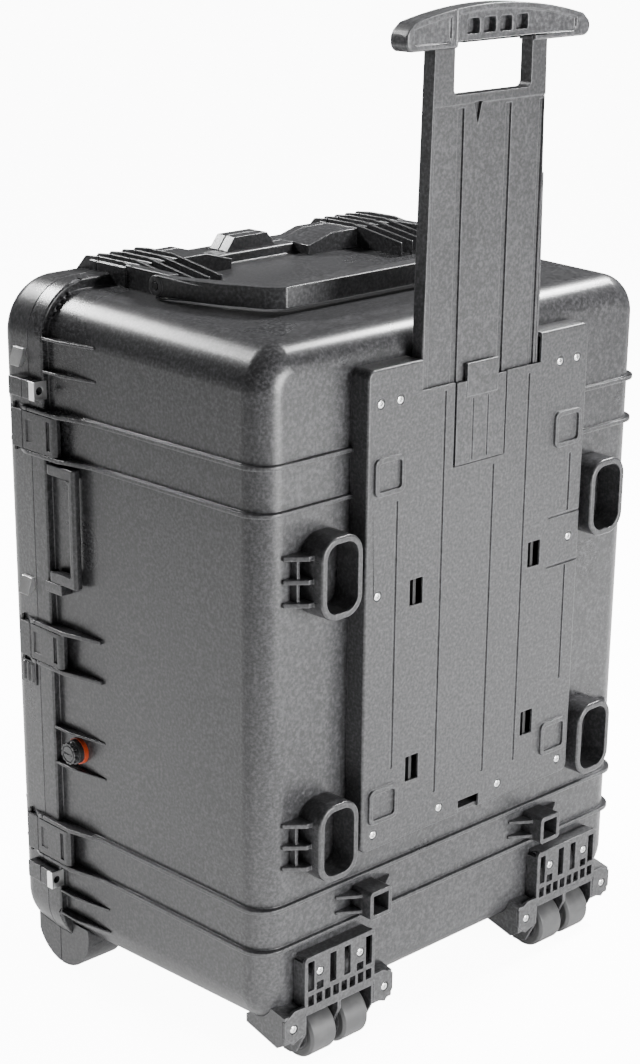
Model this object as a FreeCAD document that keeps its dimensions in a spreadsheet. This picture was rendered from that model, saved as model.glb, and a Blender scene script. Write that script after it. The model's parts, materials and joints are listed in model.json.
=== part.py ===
import FreeCAD, Part
import math
import os
import re
import Sketcher

# Wheeled hard equipment case, standing upright on its wheels and front feet.
# X runs across the trolley side, Y from the trolley side to the lid, Z up, floor at z = 0.
# Depths along Y are given from the outer face of the back wall, which lies at back_y.

DIMENSIONS = {
    # moulded base: half widths and levels at the back wall and at the seam
    "back_y": -187, "seam_depth": 339, "wall": 5,
    "half_back": 281, "half_seam": 291, "low_back": 49, "low_seam": 40,
    "high_back": 775, "high_seam": 783, "corner_r": 45, "back_edge_r": 30,
    "flange_half": 299, "flange_low": 26, "flange_high": 793, "flange_depth": 316, "flange_r": 58,
    "ridge_h": 4.5, "ridge_t": 4.5, "ridge_end": 262,
    # lid
    "lid_gap": 0.4, "lid_front": 393, "lid_draft": 3, "lid_edge_r": 24, "lid_wall": 6,
    "lid_lip_half": 284, "lid_lip_end": 351, "belt_front": 405, "gasket_t": 4,
    # webs beside latches and hinges
    "web_t": 4.5, "web_reach": 304, "web_start": 241, "web_full": 290, "web_lid_full": 346,
    "upper_z_high": 661, "upper_z_low": 613.7, "middle_z_high": 422.8, "middle_z_low": 377,
    "lower_z_high": 190, "lower_z_low": 142, "recess_half": 293, "recess_start": 300,
    "recess_wall": 3.5,
    "rib_reach": 299, "rib_full": 288, "rib_t": 3,
    # latches
    "latch_gap": 0.8, "latch_in": 294, "latch_out": 303.8, "latch_free_end": 292, "latch_pivot_x": 299.3,
    "latch_pivot_depth": 366, "latch_eye_r": 4.5, "latch_pin_r": 2, "running_fit": 0.05,
    # hinges
    "hinge_x": 304, "knuckle_r": 6.5, "hinge_pin_r": 3, "knuckle_gap": 0.4, "leaf_start": 318,
    # hollow feet on the trolley side
    "foot_x": 201, "foot_high_z": 544, "foot_low_z": 259, "foot_w": 56, "foot_h": 86, "foot_out": 31,
    "foot_wall": 7, "foot_r": 22, "foot_rim_r": 2.5, "foot_web_t": 5, "foot_web_out": 19,
    "foot_web_end": 254,
    "socket_x": 135.7, "socket_z": 165.6, "socket_w": 32, "socket_out": 29, "socket_wall": 5,
    # front feet
    "stand_r": 48, "stand_in": 232, "stand_out": 284, "stand_depth": 335,
    # trolley housing and handle
    "housing_half": 163.4, "housing_low": 229, "housing_high": 742, "housing_out": 24.5,
    "housing_wall": 3,
    "housing_side": 5, "housing_r": 9, "housing_edge_r": 2.8, "slot_half": 88, "slot_low": 711,
    "release_half": 36.5,
    "release_low": 623, "release_x": -2, "panel_gap": 2.2, "ring_w": 42, "ring_h": 39, "ring_t": 5,
    "ring_x": 134, "ring_high_z": 633.5, "ring_low_z": 279, "ring_out": 3.5, "window_x": 90.3,
    "window_w": 19, "window_h": 28, "window_high_z": 502, "window_low_z": 307, "groove_w": 3.2,
    "groove_d": 2, "screw_out_x": 146, "screw_in_x": 119, "screw_top_z": 707.3, "screw_mid_z": 510,
    "screw_low_z": 247, "screw_low_in_x": 46.5, "screw_r": 4.3, "seat_r": 5.6, "seat_d": 1.6,
    "boss_r": 6.5, "shank_r": 2,
    "plate_half": 86.8, "plate_low": 560, "plate_high": 1040, "plate_front": 21.2, "plate_t": 15,
    "hand_half": 55, "hand_x": 3, "hand_low": 991, "hand_high": 1041, "hand_r": 6, "plate_step_z": 982,
    "plate_rail": 9, "plate_top_half": 79.5, "plate_sunk": 1.2,
    "grip_half": 140, "grip_left": 122, "grip_end_r": 9, "grip_low": 1035, "grip_top": 1074,
    "grip_rise": 20, "grip_front": 25, "grip_t": 22,
    "grip_rim": 6,
    "grip_sunk": 2.2,
    "guide_t": 4, "guide_low": 240, "guide_high": 704,
    # wheel brackets and wheels
    "bracket_x": 183, "bracket_half": 51.5, "bracket_front": 17, "bracket_low": 62, "bracket_high": 130,
    "bracket_skin": 4, "cheek_t": 3.5, "ear_half": 80, "wheel_r": 28.5, "wheel_w": 37, "wheel_dx": 23.6,
    "wheel_depth": 9.5, "axle_r": 4, "hub_r": 19, "well_r": 33, "well_high": 70, "well_back": 55,
    "ear_screw_dx": 67.2, "ear_screw_z": 53.3, "top_screw_dx": 29.5, "top_screw_z": 109,
    # pressure valve
    "valve_depth": 284, "valve_z": 286, "valve_r": 13.5, "valve_ring_r": 14.9, "valve_face_x": 300,
    "valve_knob_r": 12.4, "valve_knob_x": 306, "valve_stem_r": 4, "valve_stem_length": 11,
    # padlock lugs with steel plates
    "lug_in": 290, "lug_out": 310.5, "lug_back": 317, "lug_front": 362, "lug_h": 20, "lug_high_z": 684,
    "lug_low_z": 121, "lug_hole_x": 303.5, "lug_hole_r": 4.3, "lug_plate_t": 1.2, "lug_plate_side": 8,
    # top carry handle and its brackets
    "top_bracket_in": 93, "top_bracket_out": 206, "top_bracket_low_x": 57, "top_bracket_back": 262,
    "top_bracket_high": 803, "rib_high": 808, "top_rib_t": 3, "top_rib_first": 132, "top_rib_pitch": 17,
    "top_pivot_depth": 230, "top_pivot_z": 794.5, "top_pin_r": 4, "top_arm_r": 11, "top_arm_in": 207,
    "top_arm_out": 217, "top_lug_in": 192, "top_lug_out": 204,
    # side carry handle
    "side_low_z": 477, "side_high_z": 608, "side_pivot_depth": 307, "side_pivot_x": 297.4,
    "side_arm_r": 5.2,
    "side_bar_depth": 265, "side_bar_w": 11, "side_arm_h": 12, "side_pin_r": 2.5,
}

STATIONS = ("upper", "middle", "lower")
SIDES = {"left": -1, "right": 1}

doc = FreeCAD.newDocument("equipment_case")
dims = doc.addObject("Spreadsheet::Sheet", "dims")
for row, (alias, number) in enumerate(DIMENSIONS.items(), start=1):
    dims.set(f"A{row}", alias)
    dims.set(f"B{row}", str(number))
    dims.setAlias(f"B{row}", alias)
doc.recompute()

nodes = []


def ex(text):
    """Turn a formula in dimension names into a spreadsheet expression."""
    def cell(word):
        return "dims." + word.group(0) if word.group(0) in DIMENSIONS else word.group(0)
    return re.sub(r"[a-z][a-z0-9_]*", cell, str(text))


def value(text):
    result = dims.evalExpression(ex(text))
    return float(getattr(result, "Value", result))


def bind(obj, **sizes):
    for name, formula in sizes.items():
        obj.setExpression(name, ex(formula))


def place(obj, x, depth, z, turn=None):
    """Place an object at x, at a depth from the back wall, and at level z."""
    if turn:
        axis, angle = turn
        obj.Placement = FreeCAD.Placement(FreeCAD.Vector(),
                                          FreeCAD.Rotation(FreeCAD.Vector(*axis), angle))
    bind(obj, **{
        "Placement.Base.x": x,
        "Placement.Base.y": f"back_y + ({depth})",
        "Placement.Base.z": z,
    })
    return obj


def span(pair):
    return f"({pair[1]}) - ({pair[0]})"


def box(name, x, depth, z):
    """Box between pairs of low and high limits."""
    obj = doc.addObject("Part::Box", name)
    bind(obj, Length=span(x), Width=span(depth), Height=span(z))
    return place(obj, x[0], depth[0], z[0])


def cylinder(name, radius, length, start, axis="z"):
    """Cylinder from a start point along +X, +Y or +Z."""
    turns = {"x": ((0, 1, 0), 90), "y": ((1, 0, 0), -90), "z": None}
    obj = doc.addObject("Part::Cylinder", name)
    bind(obj, Radius=radius, Height=length)
    return place(obj, start[0], start[1], start[2], turns[axis])


def fuse(name, *shapes):
    obj = doc.addObject("Part::MultiFuse", name)
    obj.Shapes = list(shapes)
    return obj


def cut(name, base, *tools):
    obj = doc.addObject("Part::Cut", name)
    obj.Base = base
    obj.Tool = tools[0] if len(tools) == 1 else fuse(name + "_tools", *tools)
    return obj


def common(name, first, second):
    obj = doc.addObject("Part::Common", name)
    obj.Base = first
    obj.Tool = second
    return obj


def along(axis):
    """Test for straight edges parallel to an axis."""
    directions = {"x": (1, 0, 0), "y": (0, 1, 0), "z": (0, 0, 1)}
    direction = FreeCAD.Vector(*directions[axis])

    def test(edge):
        return isinstance(edge.Curve,
                          Part.Line) and edge.Curve.Direction.getAngle(direction) % math.pi < 0.2
    return test


def on_plane(axis, level):
    """Test for edges that lie in the plane across an axis at a level."""
    def test(edge):
        limits = edge.BoundBox
        low, high = {"x": (limits.XMin, limits.XMax), "y": (limits.YMin, limits.YMax),
                     "z": (limits.ZMin, limits.ZMax)}[axis]
        return abs(low - level) < 0.01 and abs(high - level) < 0.01
    return test


def round_edges(body, feature, test, radius):
    """Add a PartDesign fillet on the edges of a feature that pass a test."""
    doc.recompute()
    names = [f"Edge{i}" for i, edge in enumerate(feature.Shape.Edges, start=1) if test(edge)]
    fillet = body.newObject("PartDesign::Fillet", body.Name + "_fillet")
    fillet.Base = (feature, names)
    bind(fillet, Radius=radius)
    doc.recompute()
    return fillet


def rounded_box(name, x, depth, z, radius, axis="y", edge_r=None):
    """PartDesign box with rounded corners along an axis and softer edges around its low end."""
    body = doc.addObject("PartDesign::Body", name)
    block = body.newObject("PartDesign::AdditiveBox", name + "_box")
    bind(block, Length=span(x), Width=span(depth), Height=span(z))
    feature = round_edges(body, block, along(axis), radius)
    if edge_r:
        round_edges(body, feature, on_plane(axis, 0), edge_r)
    return place(body, x[0], depth[0], z[0])


def drafted_block(name, depth, near, far, corner, edge):
    """PartDesign block with drafted sides, rounded corners and a rounded near face.

    near and far are (half width, low level, high level) at the two depths.
    """
    body = doc.addObject("PartDesign::Body", name)
    block = body.newObject("PartDesign::AdditiveWedge", name + "_wedge")
    bind(block, Xmin=f"-({near[0]})", Xmax=near[0], Ymin="0", Ymax=span(depth), Zmin=near[1],
         Zmax=near[2],
         X2min=f"-({far[0]})", X2max=far[0], Z2min=far[1], Z2max=far[2])
    feature = round_edges(body, block, along("y"), corner)
    round_edges(body, feature, on_plane("y", 0), edge)
    return place(body, "0", depth[0], "0")


def prism(name, plane, points, limits):
    """Pad of an outline drawn in the XY, XZ or YZ plane, between two limits across it.

    In XY the points are (x, depth), in XZ (x, z) and in YZ (depth, z).
    """
    body = doc.addObject("PartDesign::Body", name)
    sketch = body.newObject("Sketcher::SketchObject", name + "_sketch")
    support = next(item for item in body.Origin.OriginFeatures if item.Role == plane + "_Plane")
    sketch.AttachmentSupport = (support, [""])
    sketch.MapMode = "FlatFace"
    corners = [FreeCAD.Vector(value(a), value(b), 0) for a, b in points]
    for i, corner in enumerate(corners):
        sketch.addGeometry(Part.LineSegment(corner, corners[(i + 1) % len(corners)]))
    for i in range(len(corners)):
        sketch.addConstraint(Sketcher.Constraint("Coincident", i, 2, (i + 1) % len(corners), 1))
    for i, corner in enumerate(corners):
        for kind, size, formula in (("DistanceX", corner.x, points[i][0]),
                                    ("DistanceY", corner.y, points[i][1])):
            index = sketch.addConstraint(Sketcher.Constraint(kind, -1, 1, i, 1, size))
            sketch.setExpression(f"Constraints[{index}]", ex(formula))
    pad = body.newObject("PartDesign::Pad", name + "_pad")
    pad.Profile = sketch
    pad.Reversed = plane == "XZ"
    bind(pad, Length=span(limits))
    origins = {"XY": ("0", "0", limits[0]), "XZ": ("0", limits[0], "0"), "YZ": (limits[0], "0", "0")}
    return place(body, *origins[plane])


def node(label, obj):
    """Name a finished sub-part and list it for export."""
    obj.Label = label
    nodes.append(obj)
    return obj


def mirrored(pair):
    """Limits along X on the other side of the case."""
    return (f"-({pair[1]})", f"-({pair[0]})")


def sided(side, pair):
    """Limits given outward from the middle, put on one side of the case."""
    return pair if side > 0 else mirrored(pair)


def flip(side, x):
    return x if side > 0 else f"-({x})"


def frame_prism(name, side, points, z, thickness):
    """Flat web seen in plan, on one side of the case."""
    outline = [(flip(side, x), depth) for x, depth in points]
    return prism(name, "XY", outline, (f"{z} - ({thickness}) / 2", f"{z} + ({thickness}) / 2"))


def station_levels(station):
    return f"{station}_z_high", f"{station}_z_low"


def station_recess(name, side, station, depth):
    """Space between two webs where a latch or a hinge sits."""
    high, low = station_levels(station)
    return box(name, sided(side, ("recess_half", "320")), depth,
               (f"{low} + web_t / 2", f"{high} - web_t / 2"))


# ---------------------------------------------------------------- base shell

base_block = drafted_block(
    "base_block", ("0", "seam_depth"),
    ("half_back", "low_back", "high_back"), ("half_seam", "low_seam", "high_seam"), "corner_r",
    "back_edge_r")
ridge_block = drafted_block(
    "ridge_block", ("-ridge_h", "seam_depth"),
    ("half_back + ridge_h", "low_back - ridge_h", "high_back + ridge_h"),
    ("half_seam + ridge_h", "low_seam - ridge_h", "high_seam + ridge_h"), "corner_r", "back_edge_r")
ridge_levels = ("upper_z_high", "upper_z_low", "lower_z_high", "lower_z_low")
ridge_bands = fuse("ridge_bands", *[
    box(f"ridge_band_{i}", ("-320", "320"), ("-10", "ridge_end"),
        (f"{z} - ridge_t / 2", f"{z} + ridge_t / 2"))
    for i, z in enumerate(ridge_levels)])
ridges = common("ridges", ridge_block, ridge_bands)
flange = rounded_box("flange", ("-flange_half", "flange_half"), ("flange_depth", "seam_depth"),
                     ("flange_low", "flange_high"), "flange_r", "y", "2.5")
base_solid = fuse("base_solid", base_block, ridges, flange)

cavity_block = drafted_block(
    "cavity_block", ("wall", "seam_depth + 1"),
    ("half_back - wall", "low_back + wall", "high_back - wall"),
    ("half_seam - wall", "low_seam + wall", "high_seam - wall"), "corner_r - wall", "back_edge_r - wall")
wheel_floor = [
    box(f"wheel_floor_{name}", sided(side, ("110", "262")), ("0", "well_back"), ("20", "well_high"))
    for name, side in SIDES.items()]
cavity = cut("cavity", cavity_block, *wheel_floor)
wheel_wells = [
    cylinder(f"wheel_well_{name}", "well_r", "98", (f"{side} * bracket_x - 49", "wheel_depth", "wheel_r"),
             "x")
    for name, side in SIDES.items()]
base_recesses = [
    station_recess(f"base_recess_{name}_{station}", side, station, ("recess_start", "seam_depth + 1"))
    for name, side in SIDES.items() for station in STATIONS]
padlock_holes = [
    cylinder(f"padlock_hole_{level}", "lug_hole_r", "80", ("-lug_hole_x", "290", f"lug_{level}_z"), "y")
    for level in ("high", "low")]
base_shell = node("base_shell",
                  cut("base_shell", base_solid, cavity, *wheel_wells, *base_recesses, *padlock_holes))

# ---------------------------------------------------------------- webs and ribs on the base

BASE_WEB = [("280", "web_start"), ("web_reach - 12", "web_start"), ("web_reach", "web_full"),
            ("web_reach", "seam_depth - 0.3"), ("280", "seam_depth - 0.3")]
SMALL_RIB = [("280", "web_start"), ("rib_reach - 10", "web_start"), ("rib_reach", "rib_full"),
             ("rib_reach", "flange_depth"), ("280", "flange_depth")]


def webs_of(side_name, side):
    """Webs above and below each latch or hinge."""
    shapes = []
    for station in STATIONS:
        for z in station_levels(station):
            shapes.append(frame_prism(f"web_{side_name}_{z}", side, BASE_WEB, z, "web_t"))
    return shapes


small_rib_levels = {"corner_top": "739", "corner_low": "704", "valve_top": "306", "valve_low": "264",
                    "bottom_top": "106", "bottom_low": "78"}


def corner_teeth(side_name, side):
    """Small teeth around the flange's upper corner, on its trolley side."""
    teeth = []
    for i in range(5):
        outline = []
        for radius, turn in ((46, -2.4), (53, -1.2), (53, 1.2), (46, 2.4)):
            angle = math.radians(28 + i * 9 + turn)
            outline.append((f"{side} * (flange_half - flange_r + {radius} * {math.cos(angle):.5f})",
                            f"flange_high - flange_r + {radius} * {math.sin(angle):.5f}"))
        teeth.append(prism(f"tooth_{side_name}_{i}", "XZ", outline, ("flange_depth - 5", "flange_depth")))
    return teeth


for side_name, side in SIDES.items():
    shapes = webs_of(side_name, side) + corner_teeth(side_name, side)
    for rib, z in small_rib_levels.items():
        shapes.append(frame_prism(f"rib_{side_name}_{rib}", side, SMALL_RIB, z, "rib_t"))
    tools = [base_solid]
    if side < 0:
        tools.append(cylinder("side_pin_bore", "side_pin_r", "30",
                              ("-side_pivot_x", "side_pivot_depth", "600")))
    label = "base_latch_webs" if side < 0 else "base_hinge_webs"
    node(label, cut(label, fuse(label + "_raw", *shapes), *tools))

# ---------------------------------------------------------------- lid

lid_block_raw = drafted_block(
    "lid_block", ("-lid_front", "-(seam_depth + lid_gap)"),
    ("flange_half - lid_draft", "flange_low + lid_draft", "flange_high - lid_draft"),
    ("flange_half", "flange_low", "flange_high"), "flange_r", "lid_edge_r")
lid_hollow_raw = drafted_block(
    "lid_hollow", ("-(lid_front - lid_wall)", "-lid_lip_end"),
    ("flange_half - lid_draft - lid_wall", "flange_low + lid_draft + lid_wall",
     "flange_high - lid_draft - lid_wall"),
    ("flange_half - lid_wall", "flange_low + lid_wall", "flange_high - lid_wall"),
    "flange_r - lid_wall", "lid_edge_r - lid_wall")


def face_about(name, shape):
    """Mirror a block across the back wall plane, so that its rounded face points to +Y."""
    obj = doc.addObject("Part::Mirroring", name)
    obj.Source = shape
    obj.Normal = FreeCAD.Vector(0, 1, 0)
    bind(obj, **{"Base.y": "back_y"})
    return obj


lid_block = face_about("lid_block_turned", lid_block_raw)
lid_recess_backs = [
    box(f"lid_recess_back_{name}_{station}", sided(side, ("recess_half - recess_wall", "320")),
        ("seam_depth", "lid_front + 20"),
        (f"{station}_z_low + web_t / 2 - recess_wall", f"{station}_z_high - web_t / 2 + recess_wall"))
    for name, side in SIDES.items() for station in STATIONS]
lid_hollow = cut("lid_hollow_walled", face_about("lid_hollow_turned", lid_hollow_raw), *lid_recess_backs)
lid_lip = rounded_box("lid_lip", ("-lid_lip_half", "lid_lip_half"), ("seam_depth - 1", "lid_lip_end + 1"),
                      ("flange_low + 15", "flange_high - 15"), "flange_r - 15", "y")


def seal_ring(name, depth, grow):
    """Ring of the lid seal, made larger by a small amount for its groove."""
    outer = rounded_box(name + "_outer",
                        (f"-(lid_lip_half + 7.5 + {grow})", f"lid_lip_half + 7.5 + {grow}"), depth,
                        (f"flange_low + 7.5 - {grow}", f"flange_high - 7.5 + {grow}"), "flange_r - 8",
                        "y")
    inner = rounded_box(name + "_inner",
                        (f"-(lid_lip_half + 3.5 - {grow})", f"lid_lip_half + 3.5 - {grow}"),
                        ("seam_depth - 5", "seam_depth + 20"),
                        (f"flange_low + 11.5 + {grow}", f"flange_high - 11.5 - {grow}"), "flange_r - 12",
                        "y")
    return cut(name, outer, inner)


seal_groove = seal_ring("seal_groove", ("seam_depth", "seam_depth + lid_gap + gasket_t"), "0.05")
lid_seal = node("lid_seal",
                seal_ring("lid_seal", ("seam_depth + 0.2", "seam_depth + lid_gap + gasket_t - 0.05"),
                          "0"))
lid_recesses = [
    station_recess(f"lid_recess_{name}_{station}", side, station, ("seam_depth - 1", "lid_front + 20"))
    for name, side in SIDES.items() for station in STATIONS]
latch_pin_bores = [
    cylinder(f"latch_pin_bore_{station}", "latch_pin_r",
             f"{station}_z_high - {station}_z_low + web_t + 2",
             ("-latch_pivot_x", "latch_pivot_depth", f"{station}_z_low - web_t / 2 - 1"))
    for station in STATIONS]
lid_shell = node("lid_shell", cut("lid_shell", lid_block, lid_hollow, lid_lip, seal_groove, *lid_recesses,
                                  *padlock_holes, *latch_pin_bores))

LID_START = "seam_depth + lid_gap"
LID_BELT = [("web_reach", LID_START), ("web_reach", "web_lid_full"), ("282", "belt_front - 6"),
            ("275", "belt_front")]
LID_WEB = [("270", LID_START), ("web_reach", LID_START), ("web_reach", "web_lid_full"), ("281", "395"),
           ("270", "395")]
lid_belts = []
for z in ridge_levels:
    right = LID_BELT
    left = [(f"-({x})", depth) for x, depth in reversed(LID_BELT)]
    lid_belts.append(prism(f"lid_belt_{z}", "XY", right + left, (f"{z} - web_t / 2", f"{z} + web_t / 2")))
for side_name, side in SIDES.items():
    for z in station_levels("middle"):
        lid_belts.append(frame_prism(f"lid_web_{side_name}_{z}", side, LID_WEB, z, "web_t"))
tail_pad = [box("tail_pad", ("-300.5", "-290"), ("345", "372"), ("346", "374"))]
tail_pad += [
    box(f"tail_rib_{i}", ("-302.5", "-290"), (f"348 + {i} * 7.5", f"352 + {i} * 7.5"), ("349", "371"))
    for i in range(3)]
lid_ribs = node("lid_ribs",
                cut("lid_ribs", fuse("lid_ribs_raw", *lid_belts, *tail_pad), lid_block, *latch_pin_bores))

# ---------------------------------------------------------------- latches

latch_pins = []
for station in STATIONS:
    high, low = station_levels(station)
    z_low = f"{low} + web_t / 2 + latch_gap"
    z_high = f"{high} - web_t / 2 - latch_gap"
    z_mid = f"({low} + {high}) / 2"
    lever_outline = [
        ("-latch_in", "latch_free_end + 4"), ("-(latch_in + 2)", "latch_free_end"),
        ("-(latch_out - 3)", "latch_free_end"), ("-latch_out", "latch_free_end + 5"),
        ("-latch_out", "latch_pivot_depth"), ("-latch_in - 1", "latch_pivot_depth")]
    lever = prism(f"lever_{station}", "XY", lever_outline, (z_low, z_high))
    eye = cylinder(f"lever_eye_{station}", "latch_eye_r", span((z_low, z_high)),
                   ("-latch_pivot_x", "latch_pivot_depth", z_low))
    finger_slot = box(f"lever_slot_{station}", ("-(latch_out + 1)", "-(latch_out - 2.5)"),
                      ("latch_free_end + 9", "latch_free_end + 15"), (f"{z_low} + 5", f"{z_high} - 5"))
    step = box(f"lever_step_{station}", ("-(latch_out + 1)", "-(latch_out - 1.5)"),
               ("seam_depth - 9", "seam_depth + 3"), (f"{z_mid} - 12", f"{z_mid} + 12"))
    link_line = box(f"lever_line_{station}", ("-(latch_out + 1)", "-(latch_out - 1.2)"),
                    ("seam_depth + 8", "seam_depth + 10"), (z_low, z_high))
    bore = cylinder(f"lever_bore_{station}", "latch_pin_r + running_fit", "60",
                    ("-latch_pivot_x", "latch_pivot_depth", f"{z_mid} - 30"))
    node(f"latch_{station}", cut(f"latch_{station}", fuse(f"lever_raw_{station}", lever, eye),
                                 finger_slot, step, link_line, bore))
    latch_pins.append(cylinder(f"latch_pin_{station}", "latch_pin_r", f"{high} - {low} + web_t",
                               ("-latch_pivot_x", "latch_pivot_depth", f"{low} - web_t / 2")))
node("latch_pins", fuse("latch_pins", *latch_pins))

# ---------------------------------------------------------------- hinges

def knuckle(name, z, leaf_depth):
    """Hinge barrel with the leaf that carries it."""
    barrel = cylinder(name + "_barrel", "knuckle_r", span(z), ("hinge_x", "seam_depth", z[0]))
    leaf = box(name + "_leaf", ("recess_half", "hinge_x + 2"), leaf_depth, z)
    return [barrel, leaf]


hinge_pins = []
for station in STATIONS:
    high, low = station_levels(station)
    bottom = f"{low} + web_t / 2 + knuckle_gap"
    top = f"{high} - web_t / 2 - knuckle_gap"
    third = f"(({top}) - ({bottom})) / 3"
    cuts = (bottom, f"{bottom} + {third}", f"{top} - {third}", top)
    bore = cylinder(f"hinge_bore_{station}", "hinge_pin_r", span((bottom, top)),
                    ("hinge_x", "seam_depth", bottom))
    loose_bore = cylinder(f"hinge_loose_bore_{station}", "hinge_pin_r + running_fit", span((bottom, top)),
                          ("hinge_x", "seam_depth", bottom))
    base_shapes = knuckle(f"base_knuckle_a_{station}", (cuts[0], cuts[1]),
                          ("leaf_start", "seam_depth - 0.3"))
    base_shapes += knuckle(f"base_knuckle_b_{station}", (cuts[2], cuts[3]),
                           ("leaf_start", "seam_depth - 0.3"))
    node(f"hinge_base_{station}",
         cut(f"hinge_base_{station}", fuse(f"hinge_base_raw_{station}", *base_shapes), bore))
    lid_z = (f"{cuts[1]} + knuckle_gap", f"{cuts[2]} - knuckle_gap")
    lid_shapes = knuckle(f"lid_knuckle_{station}", lid_z, ("seam_depth + lid_gap", "seam_depth + 22"))
    node(f"hinge_lid_{station}",
         cut(f"hinge_lid_{station}", fuse(f"hinge_lid_raw_{station}", *lid_shapes), loose_bore))
    hinge_pins.append(cylinder(f"hinge_pin_{station}", "hinge_pin_r", span((bottom, top)),
                               ("hinge_x", "seam_depth", bottom)))
node("hinge_pins", fuse("hinge_pins", *hinge_pins))

# ---------------------------------------------------------------- hollow feet and tube sockets

for side_name, side in SIDES.items():
    for level in ("high", "low"):
        name = f"foot_tube_{'upper' if level == 'high' else 'lower'}_{side_name}"
        centre = f"{side} * foot_x"
        z = f"foot_{level}_z"
        tube = rounded_box(name + "_outer", (f"{centre} - foot_w / 2", f"{centre} + foot_w / 2"),
                           ("-foot_out", "6"),
                           (f"{z} - foot_h / 2", f"{z} + foot_h / 2"), "foot_r", "y", "foot_rim_r")
        hole = rounded_box(name + "_hole",
                           (f"{centre} - foot_w / 2 + foot_wall", f"{centre} + foot_w / 2 - foot_wall"),
                           ("-foot_out - 5", "8"),
                           (f"{z} - foot_h / 2 + foot_wall", f"{z} + foot_h / 2 - foot_wall"),
                           "foot_r - foot_wall")
        webs = []
        for i in (-1, 0, 1):
            outline = [(flip(side, "foot_x + foot_w / 2 - 4"), "6"),
                       (flip(side, "foot_x + foot_w / 2 - 4"), "-foot_web_out"),
                       (flip(side, "foot_x + foot_w / 2 + 6"), "-foot_web_out"),
                       (flip(side, "foot_web_end"), "-3"),
                       (flip(side, "foot_web_end"), "6")]
            webs.append(prism(f"{name}_web_{i + 1}", "XY", outline,
                              (f"{z} + {i} * 24 - foot_web_t / 2", f"{z} + {i} * 24 + foot_web_t / 2")))
        webs.append(box(name + "_cross",
                        sided(side, ("foot_x + foot_w / 2 + 9", "foot_x + foot_w / 2 + 13")),
                        ("-9", "6"), (f"{z} - 26", f"{z} + 26")))
        node(name, cut(name, fuse(name + "_raw", tube, *webs), hole, base_solid))
    name = f"tube_socket_{side_name}"
    centre = f"{side} * socket_x"
    half = "socket_w / 2"
    shell = rounded_box(name + "_outer", (f"{centre} - {half}", f"{centre} + {half}"),
                        ("-socket_out", "6"),
                        (f"socket_z - {half}", f"socket_z + {half}"), "4", "y", "1")
    hole = box(name + "_hole", (f"{centre} - {half} + socket_wall", f"{centre} + {half} - socket_wall"),
               ("-socket_out - 5", "8"),
               (f"socket_z - {half} + socket_wall", f"socket_z + {half} - socket_wall"))
    wings = [
        prism(f"{name}_wing_{i}", "XY",
              [(f"{centre} - 40", "6"), (f"{centre} - 40", "-2"), (f"{centre} - 18", "-16"),
               (f"{centre} + 18", "-16"),
               (f"{centre} + 40", "-2"), (f"{centre} + 40", "6")],
              (f"socket_z + {i} * 9 - 2", f"socket_z + {i} * 9 + 2"))
        for i in (-1, 1)]
    node(name, cut(name, fuse(name + "_raw", shell, *wings), hole, base_solid))

# ---------------------------------------------------------------- front feet

base_feet = []
lid_feet = []
for side_name, side in SIDES.items():
    disc = cylinder(f"stand_disc_{side_name}", "stand_r", "stand_out - stand_in",
                    (flip(side, "stand_in") if side > 0 else "-stand_out", "stand_depth", "stand_r"), "x")
    lower = box(f"stand_lower_{side_name}", sided(side, ("stand_in - 1", "stand_out + 1")),
                ("stand_depth - stand_r", "seam_depth - 0.3"), ("-1", "60"))
    base_feet.append(common(f"base_foot_{side_name}", disc, lower))
    lower_lid = box(f"stand_lower_lid_{side_name}", sided(side, ("stand_in - 1", "stand_out + 1")),
                    ("seam_depth + lid_gap", "lid_front - 14"), ("-1", "60"))
    lid_feet.append(common(f"lid_foot_{side_name}", disc, lower_lid))
node("front_feet", cut("front_feet", fuse("front_feet_raw", *base_feet), base_solid))
node("lid_feet", cut("lid_feet", fuse("lid_feet_raw", *lid_feet), lid_block))

# ---------------------------------------------------------------- trolley housing

HOUSING_SCREWS = {
    "top_outer": ("screw_out_x", "screw_top_z"), "top_inner": ("screw_in_x", "screw_top_z"),
    "middle": ("screw_out_x", "screw_mid_z"), "low_outer": ("screw_out_x", "screw_low_z"),
    "low_inner": ("screw_low_in_x", "screw_low_z"),
}
housing_block = rounded_box("housing_block", ("-housing_half", "housing_half"), ("-housing_out", "0"),
                            ("housing_low", "housing_high"), "housing_r", "y", "housing_edge_r")
housing_inner = box("housing_inner", ("-(housing_half - housing_side)", "housing_half - housing_side"),
                    ("-(housing_out - housing_wall)", "1"),
                    ("housing_low + housing_side", "housing_high - housing_side"))
handle_way = box("handle_way", ("-slot_half", "slot_half"), ("-(housing_out - housing_wall)", "1"),
                 ("slot_low - 20", "housing_high + 1"))
top_step = box("top_step", ("-slot_half", "slot_half"), ("-(housing_out + 1)", "1"),
               ("slot_low", "housing_high + 1"))
release_way = box("release_way",
                  ("release_x - release_half - panel_gap", "release_x + release_half + panel_gap"),
                  ("-(housing_out + 1)", "-(housing_out - housing_wall) + 0.1"),
                  ("release_low", "housing_high + 1"))
bosses = []
seats = []
screws = []
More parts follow.
